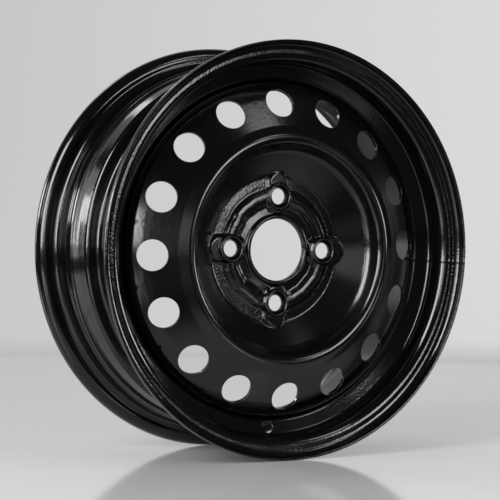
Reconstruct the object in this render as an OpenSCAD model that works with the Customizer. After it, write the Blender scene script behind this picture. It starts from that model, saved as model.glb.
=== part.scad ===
// Pressed steel road wheel: a rolled drop-centre rim, a stamped centre disc
// pressed into the rim's well, and the weld beads that hold the two together.
// The wheel stands upright, its axis along Y, with the outer face toward -Y.
// Sections are drawn as points [axial place, radius, corner radius]; the axial
// place grows from the outer face to the inner face and is 0 at mid width.

/* [Rim] */
// Diameter of the bead seats where they meet the flanges
seat_d = 354.8; // [330:0.1:380]
// Width between the two flange faces
rim_w = 127; // [124:0.5:150]
// Thickness of the rim sheet
rim_t = 2.6; // [2:0.1:3.2]
// Height of a flange above its bead seat
flange_h = 17.3; // [16:0.1:20]
// Radius of the curl at the top of a flange, tyre side
curl_r = 9.5; // [8:0.1:10]
// How far the curl turns down past its top, in degrees
curl_droop = 8; // [0:1:20]
// Straight end of a flange lip after its curl
lip_flat = 1.2; // [0.8:0.1:2]
// Radius of the heel between a bead seat and its flange
heel_r = 6.5; // [5:0.1:7]
// Taper of the bead seats, in degrees
seat_taper = 5; // [4:0.5:6]
// Distance from a flange face to the top of its safety hump
hump_at = 18.8; // [17:0.1:21]
// Height of a safety hump above its bead seat
hump_h = 1; // [0.6:0.1:1.4]
// Width of a safety hump
hump_w = 8; // [7:0.1:9]

/* [Rim well] */
// Depth of the well below the bead seats
well_depth = 17.3; // [15:0.1:19]
// Distance from the outer flange face to the foot of the well's outer wall
well_start = 28.7; // [27.5:0.1:30]
// Width of the well's floor
well_w = 42.8; // [38:0.1:46]
// Lean of the well's outer wall from upright, in degrees
front_lean = 22; // [18:1:26]
// Lean of the well's inner wall from upright, in degrees
rear_lean = 18; // [12:1:30]
// Drop from the inner bead seat to the ledge beside the well
ledge_drop = 3; // [2:0.1:4]
// Radius of the bends of the well, tyre side
well_r = 5; // [4:0.5:6]

/* [Valve hole] */
// Diameter of the valve hole in the well's outer wall
valve_d = 11.3; // [9:0.1:13]
// Turn of the valve hole from the first bolt, in degrees
valve_turn = 91; // [0:1:359]

/* [Disc] */
// Thickness of the disc sheet
disc_t = 3.5; // [3:0.1:4]
// Place of the disc's seat on the hub, toward the inner side
hub_place = -36; // [-40:0.5:-33]
// Depth of the bowl: from the disc's crest corner to the pads' front face
bowl_depth = 31.8; // [29:0.1:34]
// Radius of the crest corner
crest_r = 101.9; // [99:0.1:105]
// Radius at which the bowl's wall meets the flat pads
bowl_foot_r = 68.5; // [67:0.5:70]
// Distance from the crest corner in to the knee where the bowl's wall steepens
knee_w = 8.1; // [6:0.1:10]
// How far the knee lies behind the crest corner
knee_drop = 16.2; // [14:0.1:19]
// Rounding of the knee
knee_bend = 16; // [10:0.5:22]
// Rounding of the crest
crest_bend = 7; // [5:0.5:9]
// Distance from the crest corner out to the bend inside the vents
dip_w = 13.6; // [12:0.1:16]
// How far the bend inside the vents lies behind the crest corner
dip_drop = 8.3; // [7:0.1:10]
// Distance from the skirt's face in to the bend outside the vents
brow_w = 14.45; // [12:0.05:17]
// How far the bend outside the vents lies behind the crest corner
brow_drop = 20.4; // [19:0.1:23]
// How far the shoulder corner lies behind the crest corner
shoulder_drop = 29.8; // [28:0.1:32]
// Rounding of the shoulder
shoulder_bend = 12; // [9:0.5:14]
// Length of the skirt, from the foot of the well's outer wall to its rear edge
skirt_w = 29.8; // [26:0.1:33]
// Gap left between the skirt and the well it is pressed into
press_gap = 0.05; // [0.02:0.01:0.1]

/* [Hub seat] */
// Diameter of the centre bore
bore_d = 58.1; // [54:0.1:60]
// Height of the collar round the bore above the inner trough
collar_h = 4.5; // [3:0.1:6]
// Pitch circle diameter of the bolts
pcd = 100; // [98:0.5:104]
// Number of bolts
bolt_n = 4; // [3:1:5]
// Turn of the first bolt, in degrees
bolt_turn = 1.2; // [0:0.1:89]
// Diameter of the bolt holes
bolt_d = 15; // [13:0.1:16]
// Length of the straight part of a bolt hole
bolt_land = 2.5; // [2:0.1:3.5]
// Full angle of the bolts' conical seats, in degrees
seat_angle = 60; // [55:1:90]
// Height of the bolt bosses above the flat pads
boss_h = 6.5; // [5.5:0.1:7.5]
// Radius of the flat top of a bolt boss
boss_r = 12; // [11.5:0.1:12.5]
// Radius of a bolt boss at its foot
boss_foot_r = 15; // [14:0.1:16]
// Height of the ring rib and the spokes above the flat pads
rib_h = 4; // [3:0.1:5]
// Radius of the rib's inner edge at its top
rib_in_r = 45.2; // [44:0.1:46]
// Radius of the rib's outer edge at its top
rib_out_r = 54.3; // [53:0.1:55.5]
// Width of the slopes on both sides of the rib
rib_slope = 4; // [3:0.1:4.5]
// How far the inner trough lies above the flat pads
trough_h = 1; // [0:0.1:1.5]
// Half width of the raised spoke from each boss to the bowl's wall
spoke_r = 11.5; // [10:0.1:12]
// Outer end of each raised spoke, from the wheel's axis
spoke_end = 73.5; // [72:0.5:75]

/* [Vents] */
// Number of vent holes
vent_n = 16; // [8:1:18]
// Diameter of a vent hole
vent_d = 28.6; // [20:0.1:32]
// Distance from the skirt's face in to the circle of vent centres
vent_w = 20.25; // [18:0.05:23]
// Turn of the first vent from the first bolt, in degrees
vent_turn = -3.2; // [-11:0.1:11]

/* [Welds] */
// Number of weld beads
weld_n = 8; // [4:1:12]
// Leg of a weld bead
weld_leg = 4; // [3:0.1:5]
// Angle that a weld bead runs round the skirt, in degrees
weld_sweep = 18; // [10:1:24]

/* [Hidden] */
// Sides of a full circle
$fn = 180;
// Largest step along a bend, in degrees
bend_step = 12;
// Largest share of a straight that one bend beside it may take
bend_share = 1;
// Rounding of cut sheet edges
edge_r = 0.7;
// Reach of a cutting body past what it cuts
over = 1;
// Smallest step that keeps two points of an outline apart
hair = 0.01;
// Lengths of the punches through the sheets, in sheet thicknesses
valve_punch = 4;
vent_punch = 6;
// Bends of the disc's front face: collar, trough, rib, and both sides of the vents
collar_bend = 1.5;
trough_bend = 2.5;
rib_bend = 3;
dip_bend = 8;
brow_bend = 40;
// Rear radius of the bore's edge
bore_bend = 3;
// How much narrower a bolt's cup is at its rear end
cup_taper = 2;

half_w = rim_w / 2;
well_front = well_start - half_w;
well_rear = well_front + well_w;
skirt_end = well_front + skirt_w;
seat_r = seat_d / 2;
well_floor_r = seat_r - well_depth;
skirt_r = well_floor_r - rim_t - press_gap;
bore_r = bore_d / 2;

// Faces of the disc along the axis
pad_front = hub_place - disc_t;
crest_at = pad_front - bowl_depth;
trough_front = pad_front - trough_h;
rib_top = pad_front - rib_h;
boss_top = pad_front - boss_h;
collar_top = trough_front - collar_h;

// Slope of the vent zone, between the bends inside and outside it
dip_r = crest_r + dip_w;
brow_r = skirt_r - brow_w;
vent_r = skirt_r - vent_w;
vent_slope = atan2(brow_drop - dip_drop, brow_r - dip_r);
vent_place = crest_at + dip_drop + (vent_r - dip_r) * tan(vent_slope);

// End of the shoulder's bend, where the straight skirt starts
shoulder_slope = atan2(shoulder_drop - brow_drop, brow_w);
skirt_start = crest_at + shoulder_drop + shoulder_bend * tan((90 - shoulder_slope) / 2);

// Direction from one point to another, of length 1
function toward(p, q) = (q - p) / norm(q - p);
// Left-hand normal of a direction
function left(d) = [-d[1], d[0]];
// First two values of a point
function flat(p) = [p[0], p[1]];
// List in reverse order
function flip(list) = [for (i = [len(list) - 1:-1:0]) list[i]];
// +1 where a path turns left at q, -1 where it turns right
function turn(p, q, r) = sign(cross(q - p, r - q));

// One rounded corner at q, between p and r, as points along its arc
function corner(p, q, r, rad) =
    let (a = toward(q, p), b = toward(q, r), open = acos(max(-1, min(1, a * b))))
    rad <= 0 || open > 179.9 ? [q] :
    let (
        room = min(norm(p - q), norm(r - q)) * bend_share,
        reach = min(rad / tan(open / 2), room),
        mid = toward([0, 0], a + b),
        centre = q + mid * reach / cos(open / 2),
        first = q + a * reach - centre,
        sweep = (180 - open) * turn(p, q, r),
        steps = max(2, ceil(abs(sweep) / bend_step))
    )
    [for (i = [0:steps]) let (w = sweep * i / steps)
        centre + [first[0] * cos(w) - first[1] * sin(w), first[0] * sin(w) + first[1] * cos(w)]];

// Closed outline with every corner rounded by its third value
function rounded(pts) =
    let (n = len(pts))
    [for (i = [0:n - 1])
        each corner(flat(pts[(i + n - 1) % n]), flat(pts[i]), flat(pts[(i + 1) % n]), pts[i][2])];

// Open path moved sideways by d, to its left, with its bends kept concentric
function beside(pts, d) =
    let (n = len(pts))
    [for (i = [0:n - 1])
        let (
            q = flat(pts[i]),
            before = i > 0 ? left(toward(flat(pts[i - 1]), q)) : left(toward(q, flat(pts[i + 1]))),
            after = i < n - 1 ? left(toward(q, flat(pts[i + 1]))) : before,
            shift = (before + after) * d / (1 + before * after),
            bend = i > 0 && i < n - 1 ? turn(flat(pts[i - 1]), q, flat(pts[i + 1])) : 0
        )
        [q[0] + shift[0], q[1] + shift[1], max(edge_r, pts[i][2] - bend * d)]];

// Radius of a bead seat at a distance from its flange face
function seat_at(d) = seat_r - d * tan(seat_taper);

// Flange, bead seat and hump of one side, from the lip inward, tyre side
curl_top = seat_r + flange_h - curl_r;
lip_start = curl_r * (1 + sin(curl_droop));
lip_w = lip_start + lip_flat * cos(curl_droop);
lip_corner = curl_top + curl_r * cos(curl_droop) + lip_start * tan(curl_droop);
side = [
    [-lip_w, lip_corner - lip_w * tan(curl_droop), edge_r],
    [0, lip_corner, curl_r],
    [0, seat_r, heel_r],
    [hump_at - hump_w / 2, seat_at(hump_at - hump_w / 2), hump_w],
    [hump_at, seat_at(hump_at) + hump_h, hump_w / 2]
];

// Tyre side of the whole rim, from the outer lip to the inner lip
ledge_r = seat_r - ledge_drop;
wall_top = hump_at + hump_w / 2 - half_w;
front_top_r = well_floor_r + (well_front - wall_top) / tan(front_lean);
rear_top = well_rear + (ledge_r - well_floor_r) * tan(rear_lean);
rim_path = concat(
    [for (p = side) [p[0] - half_w, p[1], p[2]]],
    [
        [wall_top, front_top_r, well_r],
        [well_front, well_floor_r, well_r],
        [well_rear, well_floor_r, well_r],
        [rear_top, ledge_r, well_r],
        [half_w - hump_at - hump_w / 2, ledge_r, hump_w]
    ],
    flip([for (p = side) [half_w - p[0], p[1], p[2]]])
);
rim_outline = concat(rim_path, flip(beside(rim_path, -rim_t)));

// Middle of the well's outer wall, where the valve hole goes through
valve_place = (wall_top + well_front) / 2;
valve_r = (front_top_r + well_floor_r) / 2;

// Places along the axis where the four rings of the rim meet
outer_end = hump_at - half_w;
wall_end = well_front;
inner_start = rear_top + well_r;

// Turns a body drawn along Z so that its axis lies along Y
module upright() {
    rotate([-90, 0, 0]) children();
}

// Ring with the given section of points [axial place, radius, corner radius]
module ring(section) {
    rotate_extrude() polygon([for (p = rounded(section)) [p[1], p[0]]]);
}

// Copies its child round the axis
module around(count, first) {
    for (i = [0:count - 1]) rotate([0, 0, first + 360 * i / count]) children();
}

// Hole for the tyre valve, square to the well's outer wall
module valve_cut() {
    rotate([0, 0, bolt_turn + valve_turn])
        translate([valve_r, 0, valve_place])
            rotate([0, front_lean, 0])
                cylinder(h = valve_punch * rim_t, d = valve_d, center = true);
}

// One ring of the rolled rim, between two places along the axis
module rim_ring(start, end) {
    color("#1b1c1e") upright() difference() {
        rotate_extrude() intersection() {
            polygon([for (p = rounded(rim_outline)) [p[1], p[0]]]);
            translate([0, start]) square([seat_d, end - start]);
        }
        valve_cut();
    }
}

// Outer flange, its bead seat and the front of its safety hump
module rim_outer() {
    rim_ring(-rim_w, outer_end);
}

// Back of the hump and the well's outer wall, with the valve hole
module rim_wall() {
    rim_ring(outer_end, wall_end);
}

// Floor and inner wall of the drop-centre well
module rim_well() {
    rim_ring(wall_end, inner_start);
}

// Inner ledge, safety hump, bead seat and flange
module rim_inner() {
    rim_ring(inner_start, rim_w);
}

// Front face of the disc, from the collar at the bore to the skirt's edge
disc_front = [
    [collar_top, bore_r + disc_t, collar_bend],
    [trough_front, bore_r + disc_t, trough_bend],
    [trough_front, rib_in_r - rib_slope, rib_bend],
    [rib_top, rib_in_r, rib_bend],
    [rib_top, rib_out_r, rib_bend],
    [pad_front, rib_out_r + rib_slope, trough_bend],
    [pad_front, bowl_foot_r, rib_bend],
    [crest_at + knee_drop, crest_r - knee_w, knee_bend],
    [crest_at, crest_r, crest_bend],
    [crest_at + dip_drop, dip_r, dip_bend],
    [crest_at + brow_drop, brow_r, brow_bend],
    [crest_at + shoulder_drop, skirt_r, shoulder_bend],
    [skirt_end, skirt_r, edge_r]
];
disc_rear = beside([for (i = [1:len(disc_front) - 1]) disc_front[i]], -disc_t);

// Everything behind the disc's front face, up to the skirt's edge
module behind_front() {
    ring(concat(disc_front, [[skirt_end, bore_r, 0], [collar_top, bore_r, edge_r]]));
}

// Everything behind the disc's rear face
module behind_rear() {
    inner = [for (i = [1:len(disc_rear) - 2]) disc_rear[i]];
    last_r = skirt_r - disc_t;
    ring(concat(
        [
            [trough_front + disc_t - bore_bend, bore_r, 0],
            [trough_front + disc_t, bore_r, bore_bend - hair]
        ],
        inner,
        [
            [skirt_end + over, last_r, 0],
            [skirt_end + over, bore_r - over, 0],
            [trough_front + disc_t - bore_bend, bore_r - over, 0]
        ]
    ));
}

// Plan of a raised spoke, shrunk by a wall
module spoke_plan(wall) {
    r = spoke_r - wall;
    reach = spoke_end - wall - r;
    translate([pcd / 2, -r]) square([reach - pcd / 2, 2 * r]);
    translate([reach, 0]) circle(r = r);
}

// Raised metal at one bolt: its boss, and the spoke out to the bowl's wall
module bolt_raise() {
    translate([pcd / 2, 0, boss_top])
        cylinder(h = boss_h, r1 = boss_r, r2 = boss_foot_r);
    translate([0, 0, rib_top]) linear_extrude(rib_h) spoke_plan(0);
}

// Hollow behind the raised spoke
module bolt_hollow() {
    translate([0, 0, rib_top + disc_t])
        linear_extrude(pad_front - rib_top + over) spoke_plan(disc_t);
}

// Cup that carries one bolt's conical seat and its straight land
seat_slope = tan(seat_angle / 2);
cup_end = hub_place - disc_t / 2;
cone_end = cup_end - bolt_land;
module bolt_cup() {
    translate([pcd / 2, 0, boss_top])
        cylinder(h = cup_end - boss_top, r1 = boss_r, r2 = boss_r - cup_taper);
}

// Conical seat and hole of one bolt
module bolt_cut() {
    r = bolt_d / 2;
    depth = cone_end - boss_top + over;
    translate([pcd / 2, 0, boss_top - over])
        cylinder(h = depth, r1 = r + depth * seat_slope, r2 = r);
    translate([pcd / 2, 0, boss_top])
        cylinder(h = hub_place - boss_top + over, r = r);
}

// Vent hole, punched square to the slope of the disc
module vent_cut() {
    translate([vent_r, 0, vent_place])
        rotate([0, -vent_slope, 0])
            cylinder(h = vent_punch * disc_t, d = vent_d, center = true);
}

// Zone of the skirt, behind the end of the shoulder's bend
module skirt_zone() {
    translate([0, 0, skirt_start]) difference() {
        cylinder(h = skirt_end - skirt_start + over, r = skirt_r + over);
        translate([0, 0, -over])
            cylinder(h = skirt_end - skirt_start + 3 * over, r = skirt_r - disc_t - over);
    }
}

// Pressed centre disc with its hub seat, bolt bosses, crest and vents
module disc() {
    color("#17181a") upright() difference() {
        union() {
            difference() {
                union() {
                    behind_front();
                    around(bolt_n, bolt_turn) bolt_raise();
                }
                behind_rear();
                around(bolt_n, bolt_turn) bolt_hollow();
            }
            around(bolt_n, bolt_turn) bolt_cup();
        }
        around(bolt_n, bolt_turn) bolt_cut();
        around(vent_n, bolt_turn + vent_turn) vent_cut();
        skirt_zone();
    }
}

// Straight skirt that carries the disc in the rim, from the shoulder's bend to the edge
module disc_skirt() {
    color("#17181a") upright() ring([
        [skirt_start, skirt_r, 0],
        [skirt_end, skirt_r, edge_r],
        [skirt_end, skirt_r - disc_t, 0],
        [skirt_start, skirt_r - disc_t, 0]
    ]);
}

// Weld bead in the corner between the skirt's edge and the well's floor
module weld_bead() {
    weld_r = well_floor_r - rim_t;
    intersection() {
        union() {
            rotate([0, 0, -weld_sweep / 2]) rotate_extrude(angle = weld_sweep)
                translate([weld_r, skirt_end]) circle(r = weld_leg);
            for (w = [-weld_sweep / 2, weld_sweep / 2])
                rotate([0, 0, w]) translate([weld_r, 0, skirt_end]) sphere(r = weld_leg);
        }
        translate([0, 0, skirt_end]) cylinder(h = weld_leg, r = weld_r);
    }
}

// All the weld beads, spaced round the skirt
module disc_welds() {
    color("#202123") upright() around(weld_n, bolt_turn + 180 / weld_n) weld_bead();
}

rim_outer();
rim_wall();
rim_well();
rim_inner();
disc();
disc_skirt();
disc_welds();
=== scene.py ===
import math

import bpy
import numpy as np
from mathutils import Matrix


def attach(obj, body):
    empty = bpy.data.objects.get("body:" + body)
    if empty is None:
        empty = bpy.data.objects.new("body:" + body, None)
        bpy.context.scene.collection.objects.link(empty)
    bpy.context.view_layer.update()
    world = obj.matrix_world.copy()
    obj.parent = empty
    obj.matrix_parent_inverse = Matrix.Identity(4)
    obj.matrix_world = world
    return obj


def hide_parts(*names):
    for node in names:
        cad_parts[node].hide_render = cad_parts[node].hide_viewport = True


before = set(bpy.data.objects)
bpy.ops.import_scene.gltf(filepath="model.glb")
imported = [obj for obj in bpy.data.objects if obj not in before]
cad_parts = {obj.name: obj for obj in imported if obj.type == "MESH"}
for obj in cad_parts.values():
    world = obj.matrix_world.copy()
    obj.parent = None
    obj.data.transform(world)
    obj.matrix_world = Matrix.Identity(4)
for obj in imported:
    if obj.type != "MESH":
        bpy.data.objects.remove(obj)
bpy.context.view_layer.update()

# Lengths are in millimetres in the design functions, and Body.build() turns them into metres.
# A path's point is [y, radius, bend]; an angle runs clockwise from +X as seen from the front.

# ---------------------------------------------------------------- sizes of the rim
HALF_W, SEAT_R, RIM_T, EDGE = 63.5, 177.4, 2.6, 0.7
CURL_R, CURL_DROOP, FLANGE_H, LIP_FLAT = 9.5, 8.0, 17.3, 1.2
HEEL_R, SEAT_TAPER = 6.5, 5.0
HUMP_AT, HUMP_H, HUMP_W = 18.8, 1.0, 8.0
FLOOR_R, WELL_FRONT, WELL_REAR, WELL_R = 160.1, -34.8, 8.0, 5.0
FRONT_LEAN, REAR_LEAN = 22.0, 18.0
# the ledge behind the well sinks toward it, and by a share of that at LEDGE_MID
LEDGE_R, LEDGE_FALL, LEDGE_MID, LEDGE_MID_FALL, LEDGE_BEND = 174.4, 2.4, 26.0, 0.3, 90
VALVE_D, VALVE_PHI, VALVE_Y, VALVE_R = 11.3, 92.2, -37.75, 167.4
VALVE_COLS = 5
# the well's outer wall, which holds the valve hole: its reach along y and its stations
WALL_FROM, WALL_TO, WALL_TOP, WALL_MARGIN = -45, -25, 175.2, 0.2
WALL_RADII = np.linspace(161.1, 173.7, 13)
RIM_STEP = 10.5

# ---------------------------------------------------------------- sizes of the disc
DISC_T, BORE_R, COLLAR_TOP, NECK_R = 3.5, 29.05, -45.0, 36.0
TROUGH, TROUGH_FALL, PAD = -40.5, 0.9, -39.5
RIB_TOP, RIB_IN, RIB_OUT, RIB_SLOPE = -43.5, 45.2, 54.3, 4.0
RIB_MID, RIB_CROWN, RIB_HALF = 49.75, 0.6, 4.6
PAD_FALL, PAD_MID, PAD_HALF = 0.055, 64, 5
BOWL_FOOT, CREST, CREST_AT = 68.5, 101.9, -71.3
KNEE_R, KNEE_Y = 93.8, -55.1
DIP_R, DIP_Y, BROW_R, BROW_Y = 115.5, -63.0, 143.0, -50.9
SKIRT_R, SHOULDER_Y, SKIRT_END = 157.45, -41.5, -5.0
BOLTS, BOLT_N, BOLT_PHI, BOLT_R = 50.0, 4, 1.2, 7.5
CONE_END, CONE_BLEND = -40.25, 1.0
BOSS_TOP, BOSS_R, BOSS_SLOPE, BOSS_ROUND = -46.0, 12.0, 2.1, 1.8
SPOKE_R, SPOKE_START, SPOKE_END = 11.5, BOLTS - 6, 73.5
SPOKE_INSET, SPOKE_SLOPE, SPOKE_ROUND = 1.2, 1.3, 2.2
HUB_BLEND = 1.6
VENT_N, VENT_PHI, VENT_R, VENT_A = 16, -2.0, 137.2, 14.3
VENT_TILT = math.atan2(BROW_Y - DIP_Y, BROW_R - DIP_R)
# the hub stamping's wavy edges: shift, waves a turn and phase, then the ring they lie in
WAVES = ((0.55, 9, 0.6), (0.4, 17, 1.9), (0.2, 31, 0.0))
WAVE_MID, WAVE_HALF = 48, 9.5

# ---------------------------------------------------------------- columns and stations
COLS = 384
COL = 2 * math.pi / COLS
BOLT_COLS, VENT_COLS, VENT_SHIFT = 24, 12, -3
# the columns turn between hub and vents, so that each vent lies in the middle of its block
TURN_FROM, TURN_WIDTH, TURN = 78, 22, 0.3875
# radii of the first and last station of the blocks left open for bolt holes and vents
BOLT_FRONT, BOLT_REAR = (36.8, 65.6), (65.2, 37.0)
VENT_FRONT, VENT_REAR = (118.4, 154.4), (152.2, 117.4)
BOLT_RINGS = (8.3, 9.0, 9.8, 10.4, 11.0, 11.7, 12.4, 13.2, 14.2, 15.4)
# rounding of each hole's edges: the face side's first, then the rear's
VALVE_EDGES, BOLT_EDGES, VENT_EDGES = (0.5, 0.4), (0.25, 0.5), (0.4, 0.35)

# ---------------------------------------------------------------- sizes of the welds
WELD_N, WELD_SWEEP, WELD_SIZE, WELD_LIMIT = 8, 18, 3.95, 3.98
WELD_ALONG, WELD_ACROSS, WELD_SPARE = 64, 13, 0.012


# ---------------------------------------------------------------- outlines
def unit(v):
    return v / np.maximum(np.linalg.norm(v, axis=-1, keepdims=True), 1e-12)


def left(d):
    return np.array([-d[1], d[0]])


def arcs(pts, closed, step):
    """Points and left-hand normals of a path whose corners [y, r, bend] are rounded."""
    n, out = len(pts), []
    q = [np.array(p[:2], float) for p in pts]
    for i in range(n):
        if not closed and i in (0, n - 1):
            d = unit(q[1] - q[0]) if i == 0 else unit(q[-1] - q[-2])
            out.append((q[i], left(d)))
            continue
        a, b = unit(q[i - 1] - q[i]), unit(q[(i + 1) % n] - q[i])
        gap = math.acos(max(-1.0, min(1.0, float(a @ b))))
        if math.pi - gap < 1e-3:
            out.append((q[i], left(b)))
            continue
        side = np.sign(a[1] * b[0] - a[0] * b[1])
        rad = pts[i][2]
        mid = unit(a + b)
        centre = q[i] + mid * rad / math.sin(gap / 2)
        first = q[i] + a * rad / math.tan(gap / 2) - centre
        sweep = (math.pi - gap) * side
        steps = max(2, math.ceil(abs(sweep) / math.radians(step)))
        for k in range(steps + 1):
            w = sweep * k / steps
            c, s = math.cos(w), math.sin(w)
            v = np.array([first[0] * c - first[1] * s, first[0] * s + first[1] * c])
            out.append((centre + v, -side * v / rad))
    return np.array([o[0] for o in out]), np.array([o[1] for o in out])


def beside(pts, d):
    """An open path moved sideways by d, to its left, with its bends kept concentric."""
    n, out = len(pts), []
    q = [np.array(p[:2], float) for p in pts]
    for i in range(n):
        before = left(unit(q[i] - q[i - 1])) if i else left(unit(q[1] - q[0]))
        after = left(unit(q[i + 1] - q[i])) if i < n - 1 else before
        shift = (before + after) * d / (1 + before @ after)
        bend = 0.0
        if 0 < i < n - 1:
            u, v = q[i] - q[i - 1], q[i + 1] - q[i]
            bend = np.sign(u[0] * v[1] - u[1] * v[0])
        out.append([*(q[i] + shift), max(EDGE, pts[i][2] - bend * d)])
    return out


class Curve:
    """y over radius as a smooth curve through the points of a path with known normals."""

    def __init__(self, pts, normals):
        order = np.argsort(pts[:, 1], kind="stable")
        r, y, n = pts[order, 1], pts[order, 0], normals[order]
        keep = np.concatenate([[True], np.diff(r) > 1e-4])
        self.r, self.y = r[keep], y[keep]
        self.m = -n[keep, 1] / np.where(np.abs(n[keep, 0]) < 1e-3, 1e-3, n[keep, 0])

    def __call__(self, r):
        """y and its slope at r."""
        i = np.clip(np.searchsorted(self.r, r) - 1, 0, len(self.r) - 2)
        h = self.r[i + 1] - self.r[i]
        t = np.clip((r - self.r[i]) / h, 0, 1)
        a, b, c, d = self.y[i], self.y[i + 1], self.m[i] * h, self.m[i + 1] * h
        square, cube = 3 * (b - a) - 2 * c - d, 2 * (a - b) + c + d
        return a + t * (c + t * (square + t * cube)), (c + t * (2 * square + t * 3 * cube)) / h

    def over_plane(self, x, z):
        """y and its slopes at x, z on the surface that the curve sweeps round the axis."""
        r = np.hypot(x, z)
        y, m = self(r)
        return y, m * x / r, m * z / r


def smax(a, b, k):
    """The larger of two heights, blended over k."""
    return np.maximum(a, b) + np.maximum(k - np.abs(a - b), 0) ** 2 / (4 * k)


def smin(a, b, k):
    return -smax(-a, -b, k)


# ---------------------------------------------------------------- mesh in the making
class Body:
    """Vertices with their own normals, and faces, collected before one mesh is made."""

    def __init__(self):
        self.v, self.n, self.f, self.count = [], [], [], 0

    def add(self, pos, nor):
        """Adds vertices and gives their numbers, in the shape of the places."""
        pos, nor = np.asarray(pos, float), unit(np.asarray(nor, float))
        first = self.count
        self.v.append(pos.reshape(-1, 3))
        self.n.append(nor.reshape(-1, 3))
        self.count += len(self.v[-1])
        return (first + np.arange(len(self.v[-1]))).reshape(pos.shape[:-1])

    def grid(self, ids, wrap=True, skip=None):
        """Quads between the rows of ids; skip marks the cells that stay open."""
        right = np.roll(ids, -1, axis=1) if wrap else ids[:, 1:]
        here = ids if wrap else ids[:, :-1]
        quads = np.stack([here[:-1], right[:-1], right[1:], here[1:]], -1)
        if skip is not None:
            quads = quads[~skip]
        self.f.append(quads.reshape(-1, 4))

    def build(self, name):
        """One mesh object in metres, its faces turned the way of their normals."""
        v = np.concatenate(self.v) * 0.001
        n = np.concatenate(self.n)
        f = np.concatenate(self.f)
        facing = np.cross(v[f[:, 2]] - v[f[:, 0]], v[f[:, 3]] - v[f[:, 1]])
        wrong = np.sum(facing * n[f].sum(1), 1) < 0
        f[wrong] = f[wrong][:, ::-1]
        used = np.zeros(len(v), bool)
        used[f.ravel()] = True
        new = np.cumsum(used) - 1
        v, n, f = v[used], n[used], new[f]
        mesh = bpy.data.meshes.new(name)
        mesh.vertices.add(len(v))
        mesh.vertices.foreach_set("co", v.ravel())
        mesh.loops.add(f.size)
        mesh.loops.foreach_set("vertex_index", f.ravel().astype(np.int32))
        mesh.polygons.add(len(f))
        mesh.polygons.foreach_set("loop_start", np.arange(0, f.size, 4, dtype=np.int32))
        mesh.polygons.foreach_set("use_smooth", np.ones(len(f), bool))
        mesh.update(calc_edges=True)
        mesh.validate()
        mesh.normals_split_custom_set_from_vertices(n.tolist())
        obj = bpy.data.objects.new(name, mesh)
        bpy.context.scene.collection.objects.link(obj)
        print(name, len(v), "vertices", len(f) * 2, "triangles")
        return obj


def turned(y, r, phi):
    """Points, or directions, from their share along y, their share outward and the angle."""
    y, r, phi = np.broadcast_arrays(y, r, phi)
    return np.stack([r * np.cos(phi), y, -r * np.sin(phi)], -1)


def directions(phi):
    """The outward direction at an angle, and the one that runs forward round the axis."""
    c, s = math.cos(phi), math.sin(phi)
    return np.array([c, 0, -s]), np.array([-s, 0, -c])


def on_surface(surface, start, axis):
    """Where lines from start along axis meet a surface y(x, z)."""
    t = np.zeros(start.shape[:-1])
    for _ in range(8):
        p = start + t[..., None] * axis
        y, _, _ = surface(p[..., 0], p[..., 2])
        t = t + (y - p[..., 1]) / axis[1]
    return start + t[..., None] * axis


def hole(body, centre, axis, u, radius, sides):
    """A round hole with rounded edges through two surfaces, joined to the openings left for it.

    axis points from the first surface to the second and u across it. Each of the two sides
    is the surface, which gives y and its slopes at x, z, then the edge's rounding, the
    opening's vertex numbers and places, how many rings blend into it, and the radii of
    rings that stay round.
    """
    axis, u = unit(np.array(axis, float)), unit(np.array(u, float))
    w = np.cross(axis, u)
    strips = []
    for sign, (surface, edge, (ids, pos), steps, round_rings) in zip((1, -1), sides):
        rel = pos - centre
        theta = np.arctan2(rel @ w, rel @ u)[:, None]
        out = np.cos(theta) * u + np.sin(theta) * w
        rings = [
            on_surface(surface, centre + r * out, axis) for r in (radius + edge, *round_rings)
        ]
        last = rings[-1]
        rings += [last + (pos - last) * (k / steps) for k in range(1, steps)]
        made = []
        for p in rings:
            y, sx, sz = surface(p[..., 0], p[..., 2])
            n = np.stack([sx, -np.ones_like(sx), sz], -1) * sign
            made.append((np.stack([p[..., 0], y, p[..., 2]], -1), n))
        p0, n0 = made[0][0], unit(made[0][1])
        fillet = []
        for beta in (math.pi / 2, math.pi / 3, math.pi / 6):
            s, c = math.sin(beta), math.cos(beta)
            inward = p0 - edge * s * out + edge * (1 - c) * sign * axis
            fillet.append((inward, c * n0 - s * out))
        strips.append([body.add(p, n) for p, n in fillet + made] + [ids])
    body.grid(np.array(strips[0][::-1] + strips[1])[::-1])


def opening(ids, pos, skip, first, last, cols, back):
    """Leaves a block of cells open and gives the numbers and places round its edge.

    back marks a face whose stations run the other way, so that both edges of a hole go
    round alike.
    """
    skip[first:last, cols[:-1]] = True
    if back:
        n = len(ids) - 1
        ids, pos, first, last = ids[::-1], pos[::-1], n - last, n - first
    loop = [(first, k) for k in cols[:-1]] + [(r, cols[-1]) for r in range(first, last)]
    loop += [(last, k) for k in cols[:0:-1]] + [(r, cols[0]) for r in range(last, first, -1)]
    rows, columns = np.array(loop).T
    return ids[rows, columns], pos[rows, columns]


def closed_net(body, rows, normals):
    """Adds the stations of a closed section, and repeats the first one as the last."""
    ids = body.add(rows, normals)
    skip = np.zeros((len(ids), COLS), bool)
    return np.vstack([ids, ids[:1]]), np.concatenate([rows, rows[:1]]), skip


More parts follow.
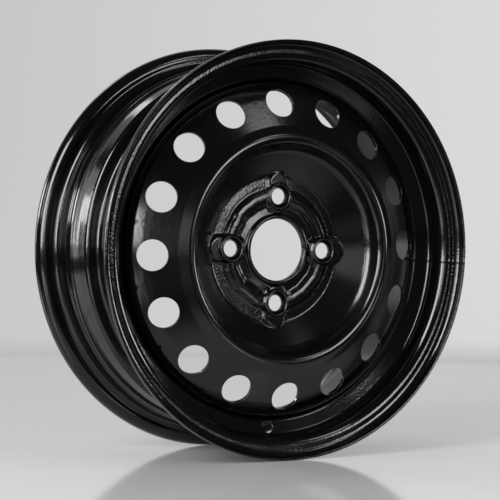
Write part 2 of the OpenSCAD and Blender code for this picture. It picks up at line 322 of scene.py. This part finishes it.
# ---------------------------------------------------------------- rim
def rim_side():
    """Flange, bead seat and hump of one side, with y measured from the flange's face."""
    top = SEAT_R + FLANGE_H - CURL_R
    droop = math.radians(CURL_DROOP)
    start = CURL_R * (1 + math.sin(droop))
    lip = start + LIP_FLAT * math.cos(droop)
    corner = top + CURL_R * math.cos(droop) + start * math.tan(droop)
    taper = math.tan(math.radians(SEAT_TAPER))
    foot = HUMP_AT - HUMP_W / 2
    return [
        [-lip, corner - lip * math.tan(droop), EDGE],
        [0, corner, CURL_R],
        [0, SEAT_R, HEEL_R],
        [foot, SEAT_R - foot * taper, HUMP_W],
        [HUMP_AT, SEAT_R - HUMP_AT * taper + HUMP_H, HUMP_W / 2],
    ]


def rim_path():
    """The tyre side of the rim's section, from the outer lip to the inner one."""
    side = rim_side()
    wall_top = HUMP_AT + HUMP_W / 2 - HALF_W
    top_r = FLOOR_R + (WELL_FRONT - wall_top) / math.tan(math.radians(FRONT_LEAN))
    ledge = LEDGE_R - LEDGE_FALL
    rear_top = WELL_REAR + (ledge - FLOOR_R) * math.tan(math.radians(REAR_LEAN))
    return (
        [[p[0] - HALF_W, p[1], p[2]] for p in side]
        + [
            [wall_top, top_r, WELL_R],
            [WELL_FRONT, FLOOR_R, WELL_R],
            [WELL_REAR, FLOOR_R, WELL_R],
            [rear_top, ledge, WELL_R],
            [LEDGE_MID, LEDGE_R - LEDGE_MID_FALL * LEDGE_FALL, LEDGE_BEND],
            [HALF_W - HUMP_AT - HUMP_W / 2, LEDGE_R, HUMP_W],
        ]
        + [[HALF_W - p[0], p[1], p[2]] for p in side[::-1]]
    )


def wall_curve(path, floor):
    """The well's outer wall as y over radius, from a closely stepped path."""
    pts, nor = arcs(path, False, 1.0)
    y, r = pts.T
    inside = (r > floor + WALL_MARGIN) & (r < WALL_TOP) & (y > WALL_FROM) & (y < WALL_TO)
    return Curve(pts[inside], nor[inside])


def with_walls(pts, nor, walls):
    """The rim's closed outline with the wall's own stations in place of its two walls.

    It also gives the number of the first station of each wall, the tyre side's first.
    """
    low, high = WALL_RADII[0] - WALL_MARGIN, WALL_RADII[-1] + WALL_MARGIN
    out_pts, out_nor, marks = [], [], {}
    for p, n in zip(pts, nor):
        if not (WALL_FROM < p[0] < WALL_TO and low < p[1] < high):
            out_pts.append(p)
            out_nor.append(n)
            continue
        tyre_side = bool(n[0] > 0)
        if tyre_side in marks:
            continue
        marks[tyre_side] = len(out_pts)
        y, m = walls[tyre_side](WALL_RADII)
        wall_p = np.stack([y, WALL_RADII], -1)
        wall_n = unit(np.stack([-np.ones_like(m), m], -1))
        wall_n = wall_n if (wall_n[0] @ n) > 0 else -wall_n
        if tyre_side:
            # the outline comes down this wall, and goes up the other one
            wall_p, wall_n = wall_p[::-1], wall_n[::-1]
        out_pts += list(wall_p)
        out_nor += list(wall_n)
    return np.array(out_pts), np.array(out_nor), (marks[True], marks[False])


def make_rim():
    outer = rim_path()
    inner = beside(outer, -RIM_T)
    tyre = wall_curve(outer, FLOOR_R)
    face = wall_curve(inner, FLOOR_R - RIM_T)
    pts, nor = arcs(outer + inner[::-1], True, RIM_STEP)
    pts, nor, marks = with_walls(pts, nor, {True: tyre, False: face})

    body = Body()
    mid = math.radians(VALVE_PHI)
    phi = mid + np.arange(COLS) * COL
    rows = turned(pts[:, :1], pts[:, 1:], phi)
    ids, rows, skip = closed_net(body, rows, turned(nor[:, :1], nor[:, 1:], phi))
    cols = list(np.arange(-VALVE_COLS, VALVE_COLS + 1) % COLS)
    tyre_rim, face_rim = [
        opening(ids, rows, skip, first, first + len(WALL_RADII) - 1, cols, back)
        for first, back in zip(marks, (False, True))
    ]
    body.grid(ids, skip=skip)

    # the side that looks to the wheel's face is the inner one of the sheet, so it comes first
    outward, forward = directions(mid)
    lean = math.radians(FRONT_LEAN)
    axis = np.array([0, math.cos(lean), 0]) + outward * math.sin(lean)
    centre = outward * VALVE_R + np.array([0, VALVE_Y, 0])
    sides = (
        (face.over_plane, VALVE_EDGES[0], face_rim, 5, ()),
        (tyre.over_plane, VALVE_EDGES[1], tyre_rim, 4, ()),
    )
    hole(body, centre, axis, forward, VALVE_D / 2, sides)
    return body.build("wheel_rim")


# ---------------------------------------------------------------- disc
def disc_front_path():
    return [
        [COLLAR_TOP, BORE_R + DISC_T, 1.5],
        [TROUGH - TROUGH_FALL, BORE_R + DISC_T, 2.5],
        [TROUGH, RIB_IN - RIB_SLOPE, 3],
        [RIB_TOP, RIB_IN, 3],
        [RIB_TOP, RIB_OUT, 3],
        [PAD, RIB_OUT + RIB_SLOPE, 2.5],
        [PAD, BOWL_FOOT, 3],
        [KNEE_Y, KNEE_R, 16],
        [CREST_AT, CREST, 7],
        [DIP_Y, DIP_R, 8],
        [BROW_Y, BROW_R, 40],
        [SHOULDER_Y, SKIRT_R, 12],
        [SKIRT_END, SKIRT_R, EDGE],
    ]


def stadium(x, z, phi, start, end, half):
    """Distance from a rounded bar that runs outward along the angle phi."""
    c, s = math.cos(phi), -math.sin(phi)
    along, across = x * c + z * s, -x * s + z * c
    return np.hypot(along - np.clip(along, start, end - half), across) - half


def smooth_rows(h, sigma):
    """A height grid blurred both ways."""
    n = int(3 * sigma) + 1
    k = np.exp(-0.5 * (np.arange(-n, n + 1) / sigma) ** 2)
    k /= k.sum()
    for axis in (0, 1):
        pad = [(n, n) if a == axis else (0, 0) for a in (0, 1)]
        p = np.pad(h, pad, mode="edge")
        h = sum(w * np.take(p, np.arange(h.shape[axis]) + i, axis=axis) for i, w in enumerate(k))
    return h


class Sheet:
    """Both faces of the pressed disc as y over x and z.

    The rear of the hub is the front pushed back by the sheet's thickness on a grid, and
    outside REAR_FADE it is the turned section's own rear.
    """

    PITCH, REACH, BLUR = 0.5, 96.0, 1.6
    REAR_FADE, FADE_WIDTH = 90, 4
    MIN_R, MIN_FACING = 32.0, 0.2
    SLOPE_STEP = 0.04

    def __init__(self):
        front = disc_front_path()[1:]
        self.front_base = self.curve(front)
        self.rear_path = beside(front, -DISC_T)
        self.rear_base = self.curve(self.rear_path)
        line = np.arange(-self.REACH, self.REACH + self.PITCH / 2, self.PITCH)
        self.origin = line[0]
        gx, gz = np.meshgrid(line, line, indexing="ij")
        top = self.front_y(gx, gz, seats=False)
        rear = np.full_like(top, -1e9)
        n = int(DISC_T / self.PITCH)
        for i in range(-n, n + 1):
            for j in range(-n, n + 1):
                d = DISC_T**2 - (i * i + j * j) * self.PITCH**2
                if d >= 0:
                    moved = np.roll(np.roll(top, i, 0), j, 1)
                    rear = np.maximum(rear, moved + math.sqrt(d))
        self.rear_grid = smooth_rows(rear, self.BLUR)
        self.rear_sx, self.rear_sz = np.gradient(self.rear_grid, self.PITCH)

    def curve(self, path):
        pts, nor = arcs(path, False, 2.0)
        keep = (pts[:, 1] > self.MIN_R) & (np.abs(nor[:, 0]) > self.MIN_FACING)
        return Curve(pts[keep], nor[keep])

    def front_y(self, x, z, seats=True):
        r = np.hypot(x, z)
        phi = np.arctan2(-z, x)
        # the hub stamping leaves wavy edges, most of all on the side of the seam
        wave = sum(high * np.sin(turns * phi + phase) for high, turns, phase in WAVES)
        near = np.exp(-((r - WAVE_MID) / WAVE_HALF) ** 6)
        wave = wave * (0.65 - 0.35 * np.cos(phi + 0.5)) * near
        y, _ = self.front_base(r + wave)
        h = -y - PAD_FALL * (r - PAD_MID) * np.exp(-((r - PAD_MID) / PAD_HALF) ** 4)
        off = (r + wave - RIB_MID) / RIB_HALF
        h = h - RIB_CROWN * np.minimum(off**2, 1.6) * np.exp(-((off / 1.5) ** 6))
        for k in range(BOLT_N):
            phi = math.radians(BOLT_PHI) + k * math.pi / 2
            d = stadium(x, z, phi, SPOKE_START, SPOKE_END, SPOKE_R)
            spoke = -RIB_TOP - smax(0 * d, (d + SPOKE_INSET) * SPOKE_SLOPE, SPOKE_ROUND)
            h = smax(h, spoke, HUB_BLEND)
            q = np.hypot(x - BOLTS * math.cos(phi), z + BOLTS * math.sin(phi))
            boss = -BOSS_TOP - smax(0 * q, (q - BOSS_R) * BOSS_SLOPE, BOSS_ROUND)
            h = smax(h, boss, HUB_BLEND)
            if seats:
                # a 60 degree cone, so its side rises by tan 60 for each step outward
                cone = -CONE_END + (q - BOLT_R) * math.sqrt(3)
                h = smin(h, cone, CONE_BLEND)
        return -h

    def front(self, x, z):
        e = self.SLOPE_STEP
        y = self.front_y(x, z)
        sx = (self.front_y(x + e, z) - self.front_y(x - e, z)) / (2 * e)
        sz = (self.front_y(x, z + e) - self.front_y(x, z - e)) / (2 * e)
        return y, sx, sz

    def rear(self, x, z):
        inside = np.clip((self.REAR_FADE - np.hypot(x, z)) / self.FADE_WIDTH, 0, 1)
        last = self.rear_grid.shape[0] - 1.001
        gx = np.clip((x - self.origin) / self.PITCH, 0, last)
        gz = np.clip((z - self.origin) / self.PITCH, 0, last)
        i, j = gx.astype(int), gz.astype(int)
        a, b = gx - i, gz - j

        def pick(g):
            low = g[i, j] * (1 - a) + g[i + 1, j] * a
            high = g[i, j + 1] * (1 - a) + g[i + 1, j + 1] * a
            return low * (1 - b) + high * b

        grids = (self.rear_grid, self.rear_sx, self.rear_sz)
        turned_face = self.rear_base.over_plane(x, z)
        return tuple(t + (pick(g) - t) * inside for t, g in zip(turned_face, grids))


def make_disc():
    sheet = Sheet()
    bore = [
        [TROUGH + DISC_T, NECK_R, 0],
        [TROUGH + DISC_T, BORE_R, 3],
        [COLLAR_TOP, BORE_R, 1.6],
        [COLLAR_TOP, BORE_R + DISC_T, 1.5],
        [TROUGH - TROUGH_FALL, BORE_R + DISC_T, 2.5],
        [TROUGH - 0.6 * TROUGH_FALL, NECK_R, 0],
    ]
    bore_p, bore_n = arcs(bore, False, 9.0)
    front_r = np.concatenate([
        np.linspace(*BOLT_FRONT, 25), np.arange(66.4, 77.5, 1.0), [80, 85, 88.5],
        np.linspace(89.8, 96.2, 7), [97.4, 98.2], np.linspace(98.8, 108.6, 13),
        [111, 114, 115, 116, 117], np.linspace(*VENT_FRONT, 9),
    ])
    rear_r = np.concatenate([
        np.linspace(*VENT_REAR, 9), [115, 113, 110],
        np.linspace(107, 98, 8), [96, 94, 92, 90, 87, 83, 80],
        np.arange(77.5, 66, -1.5), np.linspace(*BOLT_REAR, 25),
    ])
    # the skirt's section runs from the last front station round its end to the first rear one
    skirt = disc_front_path()[-3:] + sheet.rear_path[:-4:-1]
    skirt_p, skirt_n = arcs(skirt, False, 8.0)
    front_side, rear_side = VENT_FRONT[1] + 0.2, VENT_REAR[0] + 0.2
    keep = skirt_p[:, 1] > front_side
    keep |= (skirt_n[:, 1] < 0.1) & (skirt_p[:, 1] > rear_side)
    keep[[0, -1]] = False
    skirt_p, skirt_n = skirt_p[keep], skirt_n[keep]

    rows, norms = [], []

    def column_angles(r):
        t = np.clip((r - TURN_FROM) / TURN_WIDTH, 0, 1)
        first = math.radians(BOLT_PHI) - math.radians(TURN) * t * t * (3 - 2 * t)
        return first + np.arange(COLS) * COL

    def revolve(p, n):
        for (y, r), (ny, nr) in zip(p, n):
            phi = column_angles(r)
            rows.append(turned(y, r, phi))
            norms.append(turned(ny, nr, phi))

    def lay(radii, surface, sign):
        for r in radii:
            p = turned(0.0, r, column_angles(r))
            y, sx, sz = surface(p[:, 0], p[:, 2])
            p[:, 1] = y
            rows.append(p)
            norms.append(np.stack([sx, -np.ones_like(sx), sz], -1) * sign)

    revolve(bore_p[1:-1], bore_n[1:-1])
    first_front = len(rows)
    lay(front_r, sheet.front, 1)
    revolve(skirt_p, skirt_n)
    first_rear = len(rows)
    lay(rear_r, sheet.rear, -1)
    body = Body()
    ids, rows, skip = closed_net(body, np.array(rows), np.array(norms))

    def openings(mid, half, front_ends, rear_ends):
        """Both openings of one hole, half columns to each side of column mid."""
        cols = [int(c) % COLS for c in np.arange(-half, half + 1) + mid]
        found = []
        for first, radii, ends, back in (
            (first_front, front_r, front_ends, False),
            (first_rear, rear_r, rear_ends, True),
        ):
            low, high = [first + int(np.argmin(np.abs(radii - r))) for r in ends]
            found.append(opening(ids, rows, skip, low, high, cols, back))
        return found

    for k in range(BOLT_N):
        outward, _ = directions(math.radians(BOLT_PHI) + k * math.pi / 2)
        mid = k * COLS // BOLT_N
        front_rim, rear_rim = openings(mid, BOLT_COLS, BOLT_FRONT, BOLT_REAR)
        centre = outward * BOLTS + np.array([0, CONE_END, 0])
        sides = (
            (sheet.front, BOLT_EDGES[0], front_rim, 6, BOLT_RINGS),
            (sheet.rear, BOLT_EDGES[1], rear_rim, 5, ()),
        )
        hole(body, centre, (0, 1, 0), outward, BOLT_R, sides)
    vent_y = DIP_Y + (VENT_R - DIP_R) * math.tan(VENT_TILT)
    for k in range(VENT_N):
        outward, forward = directions(math.radians(VENT_PHI) + k * math.pi / 8)
        mid = VENT_SHIFT + k * COLS // VENT_N
        front_rim, rear_rim = openings(mid, VENT_COLS, VENT_FRONT, VENT_REAR)
        centre = outward * VENT_R + np.array([0, vent_y, 0])
        axis = np.array([0, math.cos(VENT_TILT), 0]) - outward * math.sin(VENT_TILT)
        sides = (
            (sheet.front, VENT_EDGES[0], front_rim, 5, ()),
            (sheet.rear, VENT_EDGES[1], rear_rim, 3, ()),
        )
        hole(body, centre, axis, forward, VENT_A, sides)
    body.grid(ids, skip=skip)
    return body.build("wheel_disc")


# ---------------------------------------------------------------- welds
def make_welds():
    """Quarter-round beads with light ripples between the skirt's end and the well."""
    body = Body()
    inner = FLOOR_R - RIM_T
    t = np.linspace(-1, 1, WELD_ALONG)
    fade = np.sqrt(np.clip(1 - np.abs(t) ** 6, 0, 1)) * 0.98 + 0.02
    ang = np.linspace(0, math.pi / 2, WELD_ACROSS)
    for k in range(WELD_N):
        mid = math.radians(BOLT_PHI + 180 / WELD_N + 360 / WELD_N * k)
        phi = (mid + t * (math.radians(WELD_SWEEP) / 2 + WELD_SPARE))[:, None]
        ripple = 1 - 0.07 * np.abs(np.sin(t * 26 + k)) - 0.03 * np.sin(t * 9 + 2 * k)
        size = (WELD_SIZE * fade * ripple)[:, None]
        # each row starts and ends in the corner that the bead fills
        y = np.pad(SKIRT_END + size * np.sin(ang), ((0, 0), (1, 1)), constant_values=SKIRT_END)
        r = np.pad(inner - size * np.cos(ang), ((0, 0), (1, 1)), constant_values=inner)
        p = turned(np.minimum(y, SKIRT_END + WELD_LIMIT), r, phi)
        ids = body.add(p, p - turned(SKIRT_END, inner, phi) + 1e-6)
        body.grid(ids.T, wrap=False)
    return body.build("weld_beads")


# ---------------------------------------------------------------- materials
class Tree:
    """The nodes of one new material, with a short call for each kind that is used."""

    def __init__(self, name):
        self.material = bpy.data.materials.new(name)
        self.material.use_nodes = True
        self.nodes = self.material.node_tree.nodes
        self.links = self.material.node_tree.links
        self.shader = self.nodes["Principled BSDF"]
        self.coord = self.nodes.new("ShaderNodeTexCoord").outputs["Object"]
        split = self.nodes.new("ShaderNodeSeparateXYZ")
        self.links.new(self.coord, split.inputs[0])
        self.x, self.y, self.z = (split.outputs[axis] for axis in "XYZ")

    def put(self, socket, value):
        """Gives an input its number or colour, or links another node's output to it."""
        if isinstance(value, bpy.types.NodeSocket):
            self.links.new(value, socket)
        else:
            socket.default_value = value

    def fill(self, node, values):
        for name, value in values.items():
            self.put(node.inputs[name], value)

    def math(self, operation, *values):
        node = self.nodes.new("ShaderNodeMath")
        node.operation = operation
        for socket, value in zip(node.inputs, values):
            self.put(socket, value)
        return node.outputs[0]

    def times(self, a, b):
        return self.math("MULTIPLY", a, b)

    def vector(self, operation, a, b, output):
        node = self.nodes.new("ShaderNodeVectorMath")
        node.operation = operation
        self.put(node.inputs[0], a)
        self.put(node.inputs[1], b)
        return node.outputs[output]

    def noise(self, at, scale, detail, kind="3D"):
        node = self.nodes.new("ShaderNodeTexNoise")
        node.noise_dimensions = kind
        place = "W" if kind == "1D" else "Vector"
        self.fill(node, {"Scale": scale, "Detail": detail, place: at})
        return node.outputs["Fac"]

    def ramp(self, value, lo, hi, out_lo=0.0, out_hi=1.0):
        """A smooth step from out_lo to out_hi while the value goes from lo to hi."""
        node = self.nodes.new("ShaderNodeMapRange")
        node.interpolation_type = "SMOOTHSTEP"
        self.fill(node, {
            "Value": value, "From Min": lo, "From Max": hi, "To Min": out_lo, "To Max": out_hi,
        })
        return node.outputs["Result"]

    def band(self, value, lo, hi, fade):
        """1 between lo and hi, and 0 outside, over a soft edge."""
        up = self.ramp(value, lo - fade, lo + fade)
        down = self.ramp(value, hi - fade, hi + fade, 1.0, 0.0)
        return self.times(up, down)

    def mix(self, share, a, b):
        node = self.nodes.new("ShaderNodeMix")
        node.data_type = "RGBA"
        self.fill(node, {"Factor": share, "A": a, "B": b})
        return node.outputs["Result"]


BLACK, WORN_BLACK = (0.0010, 0.0010, 0.0011, 1), (0.0016, 0.0016, 0.0017, 1)
# scale and detail of the noise in the gloss, and of the patches that the sand lies in
CLOUD, PATCHES = (14.0, 3.0), (25.0, 2.0)
# scale, detail and height of the skin's waves, of its fine peel and of its sand
PEEL_WAVE, PEEL_FINE, SAND = (150.0, 2.0, 0.5), (420.0, 2.0, 0.35), (480.0, 1.5, 0.22)
# zones of stronger sand: y from, y to, radius from, radius to in metres, and weight
FLANGE_SAND = (-0.076, -0.060, 0.180, 0.1952, 1.5)
WALL_SAND = (-0.060, -0.030, 0.158, 0.176, 0.6)
PAD_SAND = (-0.042, -0.037, 0.0585, 0.0695, 3.0)
BOWL_SAND = (-0.060, -0.040, 0.030, 0.096, 0.6)
FADE_Y, FADE_R = 0.002, 0.001
# the rings that rolling leaves in the well, and the line of the rim's weld seam
RING_SCALE, RING_HEIGHT, RING_FULL, RING_NONE = 110.0, 2.6, 0.172, 0.177
SEAM_AT, SEAM_HALF, SEAM_HEIGHT, SEAM_SCALE = math.radians(3.4), 0.0052, 1.6, 900.0


def paint(name, seed, rough, peel, seam=False, grain=()):
    """Black stove enamel with orange peel, slight gloss changes and a sandy skin.

    peel is the relief's depth in metres, grain lists the zones of stronger sand, and seam
    adds what only the rolled rim has.
    """
    tree = Tree(name)
    at = tree.vector("ADD", tree.coord, (seed, seed * 0.7, -seed), "Vector")
    cloud = tree.noise(at, *CLOUD)
    colour = tree.mix(tree.ramp(cloud, 0.3, 0.7), BLACK, WORN_BLACK)
    tree.fill(tree.shader, {
        "Base Color": colour,
        "Roughness": tree.ramp(cloud, 0.25, 0.75, rough * 0.88, rough * 1.15),
        "IOR": 1.5,
    })

    wave, fine, sand = [tree.noise(at, s[0], s[1]) for s in (PEEL_WAVE, PEEL_FINE, SAND)]
    patches = tree.ramp(tree.noise(at, *PATCHES), 0.35, 0.65, 0.4, 1.0)
    sand = tree.times(sand, patches)
    height = tree.times(wave, PEEL_WAVE[2])
    height = tree.math("MULTIPLY_ADD", fine, PEEL_FINE[2], height)
    height = tree.math("MULTIPLY_ADD", sand, SAND[2], height)
    squares = tree.math("ADD", tree.times(tree.x, tree.x), tree.times(tree.z, tree.z))
    radius = tree.math("SQRT", squares)
    for y0, y1, r0, r1, weight in grain:
        zone = tree.times(tree.band(tree.y, y0, y1, FADE_Y), tree.band(radius, r0, r1, FADE_R))
        height = tree.math("MULTIPLY_ADD", tree.times(zone, sand), weight, height)
    if seam:
        low = tree.ramp(radius, RING_FULL, RING_NONE, RING_HEIGHT, 0.0)
        rings = tree.noise(tree.y, RING_SCALE, 2.0, "1D")
        height = tree.math("ADD", height, tree.times(low, rings))
        off = tree.math("ADD", tree.math("ARCTAN2", tree.z, tree.x), SEAM_AT)
        bell = tree.times(tree.times(off, off), -1.0 / (2 * SEAM_HALF**2))
        beads = tree.math("ADD", tree.noise(at, SEAM_SCALE, 3.0), 0.6)
        line = tree.times(tree.math("EXPONENT", bell), beads)
        height = tree.math("MULTIPLY_ADD", line, SEAM_HEIGHT, height)
    bump = tree.nodes.new("ShaderNodeBump")
    tree.fill(bump, {"Strength": 1.0, "Distance": peel, "Height": height})
    tree.put(tree.shader.inputs["Normal"], bump.outputs["Normal"])
    return tree.material


# ---------------------------------------------------------------- the part
rim = make_rim()
disc = make_disc()
welds = make_welds()
rim.data.materials.append(
    paint("rim_enamel", 1.3, 0.12, 0.00009, seam=True, grain=(FLANGE_SAND, WALL_SAND))
)
disc.data.materials.append(paint("disc_enamel", 4.1, 0.16, 0.00009, grain=(PAD_SAND, BOWL_SAND)))
welds.data.materials.append(paint("weld_enamel", 7.7, 0.26, 0.0002))
for obj, nodes, slot in (
    (rim, [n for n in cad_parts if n.startswith("rim")], "rim_paint"),
    (disc, ["disc", "disc_skirt"], "disc_paint"),
    (welds, ["disc_welds"], "weld_paint"),
):
    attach(obj, "root")
    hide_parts(*nodes)

# ---------------------------------------------------------------- stage
FLOOR_Z, FLOOR_TURN = -0.1947, 30.4
# the sheet of paper: half its width, its front end, where it starts to bend up, and its top
SHEET_HALF, SHEET_FRONT, FLAT_TO, BEND_FROM, BEND_R, SHEET_TOP = 5.0, -6.0, 0.6, 2.2, 1.6, 5.0
PAPER, PALE_PAPER = (0.60, 0.60, 0.605, 1), (0.64, 0.64, 0.645, 1)
# painted shade: the floor's colour as mirrors see it away from the wheel
PAINTED_SHADE_FLOOR = (0.05, 0.05, 0.05, 1)
NEAR_WHEEL, NEAR_REAR = (-0.08, 0.05, FLOOR_Z), (-0.70, 0.35, FLOOR_Z)
# painted light: how bright the paper's glow is at the left and at the right
GLOW_LEFT, GLOW_RIGHT = 0.57, 0.71
# over which distances from the wheel the mirrored floor turns to painted shade, the paper loses
# its gloss and its painted glow shows, and over which y mirrors begin to see that glow
MIRROR_END, GLOSS_END, GLOW_START, BEHIND = (0.30, 0.46), (0.4, 1.25), (0.6, 1.9), (0.5, 2.4)


def sheet_mesh():
    """A floor that runs up into a wall along one wide curve."""
    # the row at FLAT_TO keeps the floor's shading flat under the wheel
    pts = [(SHEET_FRONT, 0.0), (FLAT_TO, 0.0), (BEND_FROM, 0.0)]
    for k in range(1, 25):
        w = math.radians(90 * k / 24)
        pts.append((BEND_FROM + BEND_R * math.sin(w), BEND_R * (1 - math.cos(w))))
    pts.append((BEND_FROM + BEND_R, SHEET_TOP))
    verts = [(x, d, FLOOR_Z + h) for x in (-SHEET_HALF, SHEET_HALF) for d, h in pts]
    n = len(pts)
    mesh = bpy.data.meshes.new("backdrop")
    mesh.from_pydata(verts, [], [(i, i + n, i + 1 + n, i + 1) for i in range(n - 1)])
    for p in mesh.polygons:
        p.use_smooth = True
    return mesh


def sheet_paint():
    """Pale glossy paper that glows with painted light away from the wheel, lighter to the right;
    mirrors see it behind the wheel as that glow and elsewhere in painted shade.
    """
    tree = Tree("backdrop_paint")
    path = tree.nodes.new("ShaderNodeLightPath").outputs
    from_wheel = tree.vector("DISTANCE", tree.coord, NEAR_WHEEL, "Value")
    from_rear = tree.vector("DISTANCE", tree.coord, NEAR_REAR, "Value")
    # painted shade: away from the wheel the paper's colour turns dark for glossy rays only, so
    # the wheel's paint mirrors a darker floor
    mirror_shade = tree.ramp(tree.math("MINIMUM", from_wheel, from_rear), *MIRROR_END)
    paper = tree.mix(tree.noise(tree.coord, 1.4, 2.0), PAPER, PALE_PAPER)
    tree.fill(tree.shader, {
        "Base Color": tree.mix(tree.times(mirror_shade, path["Is Glossy Ray"]), paper, PAINTED_SHADE_FLOOR),
        "Roughness": 0.09,
        "IOR": 1.45,
        # it is glossy round the wheel only
        "Specular IOR Level": tree.ramp(from_wheel, *GLOSS_END, 0.5, 0.0),
    })
    # painted light: the floor away from the wheel and the wall glow, lighter to the right, and
    # mirrors and glass see that glow behind the wheel only
    glow = tree.nodes.new("ShaderNodeEmission")
    painted_light = tree.ramp(tree.x, -1.0, 1.0, GLOW_LEFT, GLOW_RIGHT)
    tree.put(glow.inputs["Strength"], painted_light)
    mirrored = tree.math("MAXIMUM", path["Is Glossy Ray"], path["Is Transmission Ray"])
    mirrored = tree.times(mirrored, tree.ramp(tree.y, *BEHIND))
    seen = tree.times(path["Is Camera Ray"], tree.ramp(from_wheel, *GLOW_START))
    both = tree.nodes.new("ShaderNodeMixShader")
    parts = (tree.math("MAXIMUM", mirrored, seen), tree.shader.outputs[0], glow.outputs[0])
    for socket, value in zip(both.inputs, parts):
        tree.put(socket, value)
    tree.put(tree.nodes["Material Output"].inputs["Surface"], both.outputs[0])
    return tree.material


backdrop = bpy.data.objects.new("backdrop", sheet_mesh())
backdrop.rotation_euler = (0, 0, -math.radians(FLOOR_TURN))
backdrop.data.materials.append(sheet_paint())
bpy.context.scene.collection.objects.link(backdrop)


# ---------------------------------------------------------------- lamps
def lamp(name, at, toward, size, radiance):
    """A rectangular lamp whose face has the given radiance, unseen by the camera."""
    data = bpy.data.lights.new(name, "AREA")
    data.shape = "RECTANGLE"
    data.size, data.size_y = size
    data.energy = radiance * math.pi * size[0] * size[1]
    obj = bpy.data.objects.new(name, data)
    at, toward = np.array(at, float), np.array(toward, float)
    z = unit(at - toward)
    x = unit(np.cross((0, 0, 1.0), z))
    y = np.cross(z, x)
    rows = [[x[i], y[i], z[i], at[i]] for i in range(3)]
    obj.matrix_world = Matrix(rows + [[0, 0, 0, 1]])
    obj.visible_camera = False
    bpy.context.scene.collection.objects.link(obj)
    return obj


BOX_DISTANCE = 2.6


def box(name, azimuth, elevation, wide, tall, radiance):
    """A softbox by the angles it fills, as seen from the wheel.

    Azimuth 0 is in front of the wheel's face and 90 to its right.
    """
    a, e = math.radians(azimuth), math.radians(elevation)
    level = BOX_DISTANCE * math.cos(e)
    at = (level * math.sin(a), -level * math.cos(a), BOX_DISTANCE * math.sin(e))
    size = [2 * BOX_DISTANCE * math.tan(math.radians(w) / 2) for w in (wide, tall)]
    return lamp(name, at, (0, 0, 0), size, radiance)


# name, azimuth, elevation, width and height in degrees, radiance
box("side_box", -63.5, 21, 23, 44, 13)
box("edge_box", -42.5, 9, 5, 16, 15)
box("front_box", 18.5, 14, 16, 19, 9)
box("high_box", 27, 40, 12, 9, 5.5)
box("low_box", 24, 3, 5, 6, 6)
box("right_box", 66, 6, 16, 12, 9)
box("soft_box", -28, 7, 12, 20, 1.0)
box("rear_soft", -146, 8, 14, 36, 1.3)
card = lamp("barrel_card", (-0.46, 0.45, 0.10), (-0.17, 0.03, 0.0), (0.035, 0.2), 9)
card.visible_diffuse = False
box("rear_box", -132, 15, 14, 13, 13)
box("strip_box", -96, 18, 5, 14, 15)
box("back_glow", -177, 39, 8, 12, 3)
fill = lamp("top_fill", (0.0, 0.4, 2.8), (0, 0.2, 0), (2.4, 2.4), 0.9)
fill.visible_glossy = False

# ---------------------------------------------------------------- world
SKY, PALE_SKY = (0.045, 0.045, 0.046, 1), (0.62, 0.62, 0.625, 1)
world = bpy.data.worlds.new("studio")
bpy.context.scene.world = world
world.use_nodes = True
sky = world.node_tree
dim = sky.nodes["Background"]
dim.inputs["Color"].default_value = SKY
pale = sky.nodes.new("ShaderNodeBackground")
pale.inputs["Color"].default_value = PALE_SKY
sky_path = sky.nodes.new("ShaderNodeLightPath")
sky_mix = sky.nodes.new("ShaderNodeMixShader")
sky.links.new(sky_path.outputs["Is Camera Ray"], sky_mix.inputs[0])
sky.links.new(dim.outputs[0], sky_mix.inputs[1])
sky.links.new(pale.outputs[0], sky_mix.inputs[2])
sky.links.new(sky_mix.outputs[0], sky.nodes["World Output"].inputs["Surface"])

# ---------------------------------------------------------------- camera
# the pose and the focal length in pixels come from a fit to the photo's ellipses
FOCAL_PIXELS, IMAGE_PIXELS, SENSOR = 2071.18, 500, 36.0
CAM_RIGHT = (0.86251, -0.50591, 0.01099)
CAM_UP = (0.0, 0.02173, 0.99976)
CAM_BACK = (-0.50603, -0.86231, 0.01874)
CAM_AT = (-1.0039, -1.7037, 0.0358)
cam_data = bpy.data.cameras.new("camera")
cam_data.sensor_width = SENSOR
cam_data.lens = FOCAL_PIXELS / IMAGE_PIXELS * SENSOR
cam_data.clip_start, cam_data.clip_end = 0.05, 50
cam = bpy.data.objects.new("camera", cam_data)
cam.matrix_world = Matrix([*zip(CAM_RIGHT, CAM_UP, CAM_BACK, CAM_AT), (0, 0, 0, 1)])
bpy.context.scene.collection.objects.link(cam)
bpy.context.scene.camera = cam
bpy.context.scene.view_settings.view_transform = "Standard"
